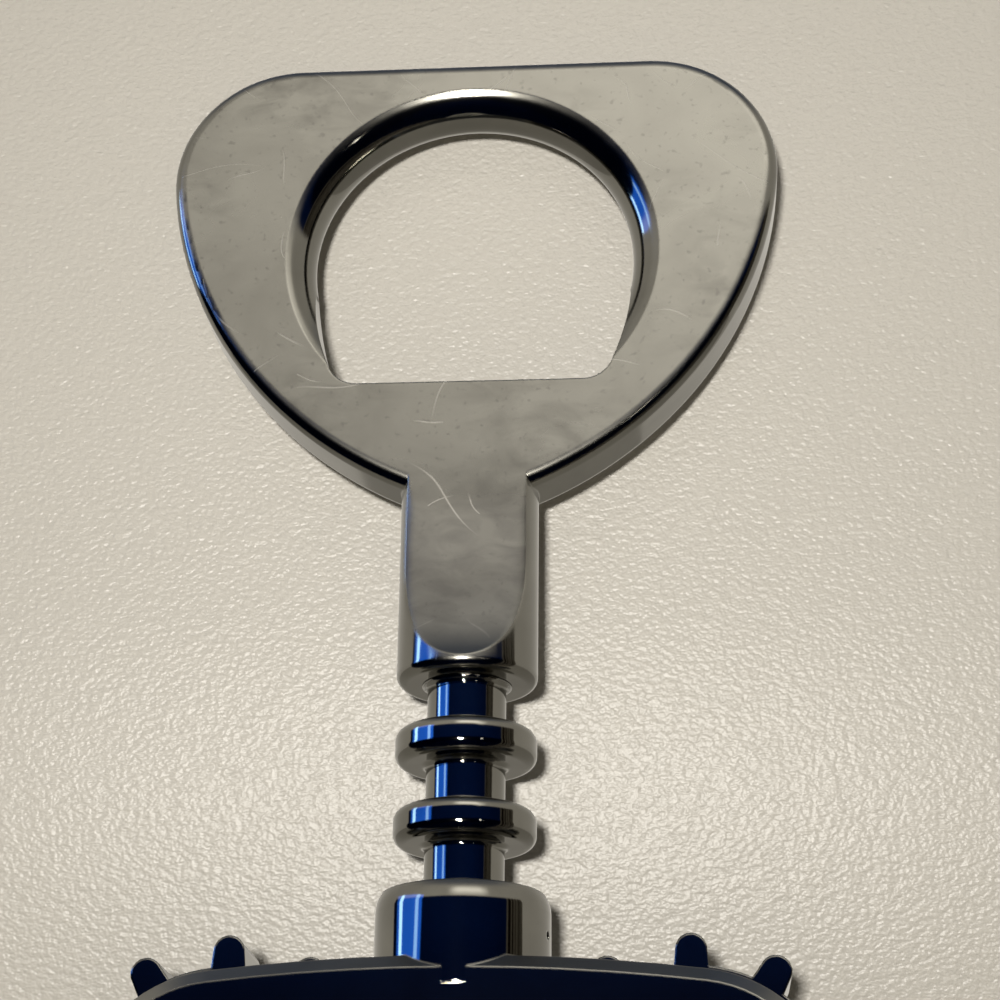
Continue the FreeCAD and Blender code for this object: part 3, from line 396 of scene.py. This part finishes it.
def stage_mesh(name, points, faces, material):
    """A mesh that belongs to the stage."""
    mesh = bpy.data.meshes.new(name)
    mesh.from_pydata(points, [], faces)
    mesh.materials.append(material)
    made = bpy.data.objects.new(name, mesh)
    bpy.context.scene.collection.objects.link(made)
    return made


def bent_sheet(name, profile, width, material):
    """A sheet bent along its profile of y and z, in millimetres like its width; it faces the front or up."""
    points = [(x * MM, y * MM, z * MM) for y, z in profile for x in (-width / 2, width / 2)]
    faces = [(row, row + 1, row + 3, row + 2) for row in range(0, len(points) - 2, 2)]
    sheet = stage_mesh(name, points, faces, material)
    for polygon in sheet.data.polygons:
        polygon.use_smooth = True
    return sheet


def board_profile():
    """The board leans against the back of the plate's top edge and of the collar, and bends away below them
    to clear the pivots and the bell. Each point is y and z in millimetres."""
    gap = 0.08
    plate_back, plate_top = 2.6, 162.35
    collar_back, collar_shoulder = 6.0, 95.95
    slope = (collar_back - plate_back) / (collar_shoulder - plate_top)
    bend = [(27, 0), (24, 40), (20, 62), (15, 76), (11.5, 81), (8.6, 85)]
    return bend + [(plate_back + gap + slope * (z - plate_top), z) for z in (87.5, 120, BOARD_TOP)]


def cloth_screen(studio, material):
    """Cloth on the floor in front of the object, and hung round it in an arc, seen only in reflections."""
    steps = 48
    near_edge = 30 * MM
    above_floor = 0.5 * MM
    low, high = studio.cloth_from, studio.cloth_to
    profile = [(0.0, near_edge), (0.0, studio.cloth_distance),
               (studio.cloth_height + studio.cloth_fade, studio.cloth_distance)]
    points = []
    for step in range(steps + 1):
        angle = low + (high - low) * step / steps
        for height, distance in profile:
            points.append((distance * math.sin(angle), -distance * math.cos(angle), height + above_floor))
    faces = []
    for step in range(steps):
        for row in range(len(profile) - 1):
            first = step * len(profile) + row
            faces.append((first, first + len(profile), first + len(profile) + 1, first + 1))
    screen = stage_mesh("cloth_screen", points, faces, material)
    screen.visible_camera = False
    screen.visible_diffuse = False
    screen.visible_shadow = False


def point_at(turned, elevation, distance, middle):
    """A place seen from the middle: turned from the front towards the right, and up by the elevation."""
    level = math.cos(elevation) * distance
    away = Vector((level * math.sin(turned), -level * math.cos(turned), math.sin(elevation) * distance))
    return middle + away


def soft_lamp(name, target, turned, elevation, distance, width, height, brightness, tint, cone=math.pi):
    """A rectangular light aimed at the target, as bright as a white sheet lit to the given brightness. It
    stands at the angles, in degrees, and the distance from the target; its sizes are in millimetres."""
    place = point_at(math.radians(turned), math.radians(elevation), distance * MM, target)
    width, height = width * MM, height * MM
    data = bpy.data.lights.new(name, "AREA")
    data.shape = "RECTANGLE"
    data.size = width
    data.size_y = height
    data.energy = brightness * math.pi * width * height
    data.color = tint
    if cone < math.pi:
        # a cone gathers the light towards its middle, so there is less of it for the same brightness
        data.spread = cone
        data.energy *= 1 - (cone / 2) / math.tan(cone / 2)
    lamp = bpy.data.objects.new(name, data)
    lamp.location = place
    lamp.rotation_euler = (target - place).to_track_quat("-Z", "Y").to_euler()
    bpy.context.scene.collection.objects.link(lamp)
    return lamp


def set_lamps(studio):
    """The sky, a window's two panes and a far lamp, which only mirror surfaces show, and the key light."""
    middle = Vector((0.0, 0.0, 110 * MM))
    dim_pane = 0.4 * studio.window
    mirrored = (
        # name, turned from the front, elevation, distance, width, height, brightness, tint
        ("sky_light", -70, 17.4, 1260, 900, 340, studio.sky, studio.sky_tint),
        ("window_left_light", -83, 17.2, 1200, 120, 320, studio.window, studio.window_tint),
        ("window_right_light", -57, 17.2, 1200, 100, 320, dim_pane, studio.window_tint),
        ("far_light", 31, -7.0, 600, 22, 22, studio.far_light, studio.ceiling_tint),
    )
    for name, *place_size_and_light in mirrored:
        lamp = soft_lamp(name, middle, *place_size_and_light)
        lamp.visible_diffuse = False
    plate = Vector((0.0, 0.0, 155 * MM))
    soft_lamp("key_light", plate, turned=-3.4, elevation=-15.3, distance=329, width=34, height=34,
              brightness=studio.key, tint=studio.ceiling_tint, cone=studio.key_cone)


def ceiling_glow(studio, tree, elevation, turned):
    """The strength of a soft light up in front on the right, which the camera doesn't see straight and which
    gives matt surfaces only a share of its light."""
    ray = add(tree, "ShaderNodeLightPath").outputs
    fade = studio.glow_fade
    indirect = add(tree, "ShaderNodeMath", {0: 1.0, 1: ray["Is Camera Ray"]}, operation="SUBTRACT")
    mirrored = add(tree, "ShaderNodeMath", {0: ray["Is Glossy Ray"], 1: studio.ceiling_light},
                   operation="MAXIMUM")
    upright = band(tree, elevation, (studio.glow_bottom, studio.glow_bottom + fade),
                   (studio.glow_top, studio.glow_top - fade), "SMOOTHSTEP")
    across = band(tree, turned, (studio.glow_left, studio.glow_left + fade),
                  (studio.glow_right, studio.glow_right - fade), "SMOOTHSTEP")
    glow = indirect.outputs[0]
    for factor in (mirrored.outputs[0], studio.ceiling, upright, across):
        glow = add(tree, "ShaderNodeMath", {0: glow, 1: factor}, operation="MULTIPLY").outputs[0]
    return glow


def set_world(studio):
    """A pale room, for the camera and in reflections, that grows darker overhead. It gives little light of
    its own, and more of it from behind the board."""
    # the light from behind begins at the object's side and is full 30 degrees further back; both are sines
    beside, further_back = 0.0, 0.5
    world = bpy.data.worlds.new("soft_room")
    world.use_nodes = True
    tree = world.node_tree
    tree.nodes.clear()
    shown = seen(tree)
    direction = add(tree, "ShaderNodeTexCoord").outputs["Generated"]
    away = add(tree, "ShaderNodeSeparateXYZ", {0: direction}).outputs
    elevation = add(tree, "ShaderNodeMath", {0: away["Z"]}, operation="ARCSINE").outputs[0]
    forward = add(tree, "ShaderNodeMath", {0: away["Y"], 1: -1.0}, operation="MULTIPLY").outputs[0]
    turned = add(tree, "ShaderNodeMath", {0: away["X"], 1: forward}, operation="ARCTAN2").outputs[0]
    overhead = add(tree, "ShaderNodeMapRange", {"Value": elevation, "From Min": studio.overhead_from,
                                                "From Max": studio.overhead_from + studio.glow_fade},
                   interpolation_type="SMOOTHSTEP")
    room_tint = add(tree, "ShaderNodeMix", {"Factor": overhead.outputs["Result"],
                                            COLOUR_A: colour(studio.room_tint),
                                            COLOUR_B: colour(studio.overhead_tint)}, data_type="RGBA")
    backdrop = add(tree, "ShaderNodeBackground", {"Color": room_tint.outputs[MIXED], "Strength": shown})
    behind = add(tree, "ShaderNodeMapRange", {"Value": away["Y"], "From Min": beside,
                                              "From Max": further_back})
    lit = add(tree, "ShaderNodeMath", {0: behind.outputs["Result"], 1: studio.rear, 2: studio.fill},
              operation="MULTIPLY_ADD")
    fill = add(tree, "ShaderNodeBackground", {"Color": colour(studio.room_tint), "Strength": lit.outputs[0]})
    room = add(tree, "ShaderNodeMixShader", {0: shown, 1: fill.outputs[0], 2: backdrop.outputs[0]})
    glow = ceiling_glow(studio, tree, elevation, turned)
    ceiling = add(tree, "ShaderNodeBackground", {"Color": colour(studio.ceiling_tint), "Strength": glow})
    both = add(tree, "ShaderNodeAddShader", {0: room.outputs[0], 1: ceiling.outputs[0]})
    add(tree, "ShaderNodeOutputWorld", {"Surface": both.outputs[0]})
    bpy.context.scene.world = world


def set_camera(studio):
    """A camera low in front of the object that looks up along it."""
    data = bpy.data.cameras.new("camera")
    data.lens = studio.lens
    data.clip_start = 10 * MM
    camera = bpy.data.objects.new("camera", data)
    turned = Matrix.Rotation(studio.camera_turn, 4, "Z")
    tilt = Matrix.Rotation(math.pi / 2 + studio.camera_tilt, 4, "X")
    roll = Matrix.Rotation(studio.camera_roll, 4, "Z")
    camera.matrix_world = Matrix.Translation(studio.camera_place) @ turned @ tilt @ roll
    bpy.context.scene.collection.objects.link(camera)
    bpy.context.scene.camera = camera


# Settings

def tint_setting(name, description, code):
    """A colour, given as sRGB hex."""
    return FloatVectorProperty(name=name, description=description, subtype="COLOR", min=0.0, max=1.0,
                               default=linear(code))


def length_setting(name, description, value):
    """A length in metres."""
    return FloatProperty(name=name, description=description, unit="LENGTH", min=0.0, default=value)


def share_setting(name, description, value):
    """A number from 0 to 1."""
    return FloatProperty(name=name, description=description, subtype="FACTOR", min=0.0, max=1.0,
                         default=value)


def brightness_setting(name, description, value):
    """A brightness, against lit white paper."""
    return FloatProperty(name=name, description=description + "; 1 is as bright as lit white paper",
                         min=0.0, default=value)


def angle_setting(name, description, degrees):
    """An angle, given in degrees."""
    return FloatProperty(name=name, description=description, subtype="ANGLE", default=math.radians(degrees))


class CorkscrewFinish(bpy.types.PropertyGroup):
    """Colours, roughnesses and pattern sizes of the pieces"""
    chrome_light: tint_setting("Chrome, light", "Black chrome where it is cleanest", "#9A9890")
    chrome_dark: tint_setting("Chrome, dark", "Black chrome where it is duller", "#898780")
    # the smears' colour is also the painted shade on the neck's flats, with the specks' colour
    smear_and_neck_shade_tint: tint_setting("Smears", "Finger smears on the flats", "#73716B")
    # the specks' colour is also the painted shade on the neck's flats, with the smears' colour
    speck_and_neck_shade_tint: tint_setting("Specks", "Dull specks in the plating", "#62605C")
    scratch_tint: tint_setting("Scratches", "Bare metal in a fine scratch", "#D2CEC6")
    chrome_roughness: share_setting("Chrome roughness", "Roughness of the polished rounds", 0.05)
    flat_haze: share_setting("Haze", "Roughness that buffing adds on the head's flats", 0.18)
    dust: share_setting("Dust", "Roughness that dust adds on what faces up", 0.25)
    neck_haze: share_setting("Neck's haze", "Roughness that buffing adds where the flats run out", 0.3)
    head_wear: share_setting("Head's wear", "How marked the head's flats are", 1.0)
    other_wear: share_setting("Other wear", "How marked the flats of the other castings are", 0.15)
    haze_patch: length_setting("Haze patch", "Width of a cloudy patch on the flats", 7 * MM)
    smear_patch: length_setting("Smear", "Height of a finger smear", 1.6 * MM)
    speck: length_setting("Speck", "Width of a dull speck in the plating", 0.5 * MM)
    edge_round: length_setting("Edge round", "Radius that polishing gives every edge", 0.22 * MM)
    soft_edge_round: length_setting("Neck's edge round", "The same, on the head's neck", 1.1 * MM)
    # a real scratch is about 0.02 mm wide; it is drawn coarser, so that it shows
    scratch_width: length_setting("Scratch width", "From a fine scratch's middle to its edge", 0.07 * MM)
    scratch_depth: length_setting("Scratch depth", "Depth of a fine scratch", 0.01 * MM)
    nickel_light: tint_setting("Nickel, light", "Bright nickel where it is cleanest", "#CFCBC2")
    nickel_dark: tint_setting("Nickel, dark", "Bright nickel where it is duller", "#B9B4AA")
    nickel_roughness: share_setting("Nickel roughness", "Roughness of the nickel plating", 0.12)
    drawing_roughness: share_setting("Drawing roughness", "Roughness that lines of drawing add", 0.12)
    drawing_depth: length_setting("Drawing depth", "Depth of the lines of drawing", 0.01 * MM)
    phosphate_light: tint_setting("Phosphate, light", "Phosphated steel's crystals", "#5E5D5C")
    phosphate_dark: tint_setting("Phosphate, dark", "Phosphated steel between its crystals", "#3E3D3D")
    phosphate_roughness: share_setting("Phosphate roughness", "Roughness of the phosphate coat", 0.45)
    # the coat's crystals are about 0.02 mm wide; they are drawn coarser, so that they show
    crystal: length_setting("Crystal", "Width of a phosphate crystal", 0.12 * MM)
    crystal_depth: length_setting("Crystal depth", "Height of a phosphate crystal", 0.01 * MM)
    nylon_black: tint_setting("Nylon", "Black nylon", "#1C1C1E")
    nylon_rubbed: tint_setting("Nylon, rubbed", "Nylon where it has been rubbed", "#2B2B2D")
    nylon_roughness: share_setting("Nylon roughness", "Roughness of the nylon between its grain", 0.42)
    grain_roughness: share_setting("Grain roughness", "Roughness that the mould's grain adds", 0.12)
    # the mould's grain is about 0.1 mm wide; it is drawn three times as coarse, so that it shows
    mould_grain: length_setting("Mould grain", "Width of the grain that the mould gives", 0.3 * MM)
    grain_depth: length_setting("Grain depth", "Depth of the mould's grain", 0.02 * MM)


class CorkscrewStudio(bpy.types.PropertyGroup):
    """Colours, sizes and lights of the stage, and the camera"""
    board_tint: tint_setting("Board", "Painted board behind the object", "#D1CDC5")
    board_gloss: share_setting("Board gloss", "How strongly the board's coat shines", 0.5)
    floor_tint: tint_setting("Floor", "Floor under the object", "#DAD5CA")
    floor_pale: share_setting("Floor paleness", "Share of the floor's look that is plain paint", 0.45)
    peel_width: length_setting("Orange peel", "Width of a dimple in the board's coat", 0.36 * MM)
    peel_depth: length_setting("Peel depth", "Depth of the dimples", 0.07 * MM)
    room_tint: tint_setting("Room", "The room, as the camera and the metal see it", "#CFCAC0")
    overhead_tint: tint_setting("Overhead", "The room right above the object", "#626C80")
    overhead_from: angle_setting("Overhead from", "Elevation at which the room grows darker", 48.0)
    fill: share_setting("Fill", "Share of the room's colour that it gives as light", 0.09)
    rear: share_setting("Rear", "Share of the room's colour that it adds as light behind the board", 0.6)
    cloth_tint: tint_setting("Cloth", "Dark cloth in front of the object", "#143A8C")
    slat_dark: tint_setting("Slats, dark", "Dark wood at the cloth's right end", "#2A1C12")
    slat_pale: tint_setting("Slats, pale", "Pale wood at the cloth's right end", "#E6E1D6")
    slats_from: angle_setting("Slats from", "Where the slats begin", 63.0)
    cloth_distance: length_setting("Cloth distance", "From the worm's axis", 1350 * MM)
    cloth_height: length_setting("Cloth height", "Top of the full cloth", 567 * MM)
    cloth_shadow: length_setting("Cloth shadow", "Height below which the cloth is in shadow", 300 * MM)
    cloth_fade: length_setting("Cloth fade", "Height over which the cloth fades out", 88 * MM)
    cloth_from: angle_setting("Cloth from", "Left end of the cloth's arc", -96.0)
    cloth_to: angle_setting("Cloth to", "Right end of the cloth's arc", 88.0)
    sky: brightness_setting("Sky", "The sky to the left", 2.0)
    sky_tint: tint_setting("Sky colour", "Colour of the sky", "#2873FF")
    window: brightness_setting("Window", "The window to the left", 4.5)
    window_tint: tint_setting("Window colour", "Colour of the window's light", "#BCECFF")
    ceiling: brightness_setting("Ceiling", "The soft light above", 1.65)
    ceiling_light: share_setting("Ceiling's light", "Share of the soft light above on matt surfaces", 0.1)
    ceiling_tint: tint_setting("Lamp colour", "Colour of the ceiling and of the key light", "#FFFBF3")
    glow_bottom: angle_setting("Glow bottom", "Elevation at which the ceiling's light begins", 17.6)
    glow_top: angle_setting("Glow top", "Elevation at which it ends", 55.0)
    glow_left: angle_setting("Glow left", "Left end of the ceiling's light", -19.0)
    glow_right: angle_setting("Glow right", "Right end of the ceiling's light", 44.0)
    glow_fade: angle_setting("Glow fade", "Angle over which its edges fade", 17.0)
    key: brightness_setting("Key light", "The small light by the camera", 276.0)
    key_cone: angle_setting("Key cone", "Cone of the key light, which keeps it off the floor near it", 110.0)
    far_light: brightness_setting("Far light", "A small lamp farther off, on the right", 12.0)
    lens: FloatProperty(name="Lens", description="Focal length, in millimetres", min=10.0, default=84.6)
    camera_place: FloatVectorProperty(name="Camera", description="Place of the camera", unit="LENGTH",
                                      subtype="TRANSLATION", default=(15.3 * MM, -157.7 * MM, 61.1 * MM))
    camera_tilt: angle_setting("Tilt", "How far the camera looks up", 22.46)
    camera_roll: angle_setting("Roll", "How far the camera leans to the side", 0.68)
    camera_turn: angle_setting("Turn", "How far the camera is turned to the left", 4.76)


# Operators

class CORKSCREW_OT_plate_castings(bpy.types.Operator):
    """Gives the zinc castings their black chrome"""
    bl_idname = "corkscrew.plate_castings"
    bl_label = "Plate the Castings"

    def execute(self, context):
        finish = context.scene.corkscrew_finish
        buffed = black_chrome_casting(finish, "buffed_black_chrome_on_zinc", haze=finish.flat_haze,
                                      wear=finish.head_wear, neck=NECK)
        polished = black_chrome_casting(finish, "polished_black_chrome_on_zinc", haze=0.0,
                                        wear=finish.other_wear)
        give(buffed, ("head_opener",))
        give(polished, POLISHED_CASTINGS)
        return {"FINISHED"}


class CORKSCREW_OT_plate_steel(bpy.types.Operator):
    """Gives the worm, pins and washers their bright nickel"""
    bl_idname = "corkscrew.plate_steel"
    bl_label = "Plate the Steel Pieces"

    def execute(self, context):
        give(nickel_plated_steel(context.scene.corkscrew_finish), STEEL_PIECES)
        return {"FINISHED"}


class CORKSCREW_OT_coat_clip(bpy.types.Operator):
    """Gives the rack's clip its phosphate coat"""
    bl_idname = "corkscrew.coat_clip"
    bl_label = "Coat the Clip"

    def execute(self, context):
        give(phosphated_spring_steel(context.scene.corkscrew_finish), ("rack_clip",))
        return {"FINISHED"}


class CORKSCREW_OT_colour_plastics(bpy.types.Operator):
    """Gives the bell's insert, its pad and the thrust washers their nylon"""
    bl_idname = "corkscrew.colour_plastics"
    bl_label = "Colour the Plastics"

    def execute(self, context):
        give(moulded_nylon(context.scene.corkscrew_finish), PLASTIC_PIECES)
        return {"FINISHED"}


class CORKSCREW_OT_set_stage(bpy.types.Operator):
    """Sets the floor, the leaning board, the cloth, the lights and the camera"""
    bl_idname = "corkscrew.set_stage"
    bl_label = "Set the Stage"

    def execute(self, context):
        studio = context.scene.corkscrew_studio
        floor_paint = painted_board(studio, "matt_painted_floor", studio.floor_tint, gloss=0.0,
                                    pale=studio.floor_pale)
        board_paint = painted_board(studio, "textured_painted_board", studio.board_tint, studio.board_gloss)
        bent_sheet("floor", ((-FLOOR_SIDE / 2, 0), (FLOOR_SIDE / 2, 0)), FLOOR_SIDE, floor_paint)
        board = bent_sheet("board", board_profile(), BOARD_WIDTH, board_paint)
        # the board touches the object's back, which would otherwise mirror only the shadow between them
        board.visible_glossy = False
        board.visible_shadow = False
        cloth_screen(studio, navy_cloth(studio))
        set_lamps(studio)
        set_world(studio)
        set_camera(studio)
        return {"FINISHED"}


STEPS = (CORKSCREW_OT_plate_castings, CORKSCREW_OT_plate_steel, CORKSCREW_OT_coat_clip,
         CORKSCREW_OT_colour_plastics, CORKSCREW_OT_set_stage)


class CORKSCREW_PT_panel(bpy.types.Panel):
    """Lists the steps and the settings"""
    bl_idname = "CORKSCREW_PT_panel"
    bl_label = "Wing Corkscrew"
    bl_space_type = "VIEW_3D"
    bl_region_type = "UI"
    bl_category = "Corkscrew"

    def draw(self, context):
        for step in STEPS:
            self.layout.operator(step.bl_idname)
        for settings in (context.scene.corkscrew_finish, context.scene.corkscrew_studio):
            box = self.layout.box()
            for name in settings.bl_rna.properties.keys():
                if name not in ("rna_type", "name"):
                    box.prop(settings, name)


CLASSES = (CorkscrewFinish, CorkscrewStudio, *STEPS, CORKSCREW_PT_panel)


def register():
    for cls in CLASSES:
        bpy.utils.register_class(cls)
    bpy.types.Scene.corkscrew_finish = PointerProperty(type=CorkscrewFinish)
    bpy.types.Scene.corkscrew_studio = PointerProperty(type=CorkscrewStudio)


def unregister():
    del bpy.types.Scene.corkscrew_studio
    del bpy.types.Scene.corkscrew_finish
    for cls in reversed(CLASSES):
        bpy.utils.unregister_class(cls)


def main():
    register()
    bpy.ops.corkscrew.plate_castings()
    bpy.ops.corkscrew.plate_steel()
    bpy.ops.corkscrew.coat_clip()
    bpy.ops.corkscrew.colour_plastics()
    bpy.ops.corkscrew.set_stage()
    bpy.context.scene.view_settings.view_transform = "Standard"


if __name__ == "__main__":
    main()
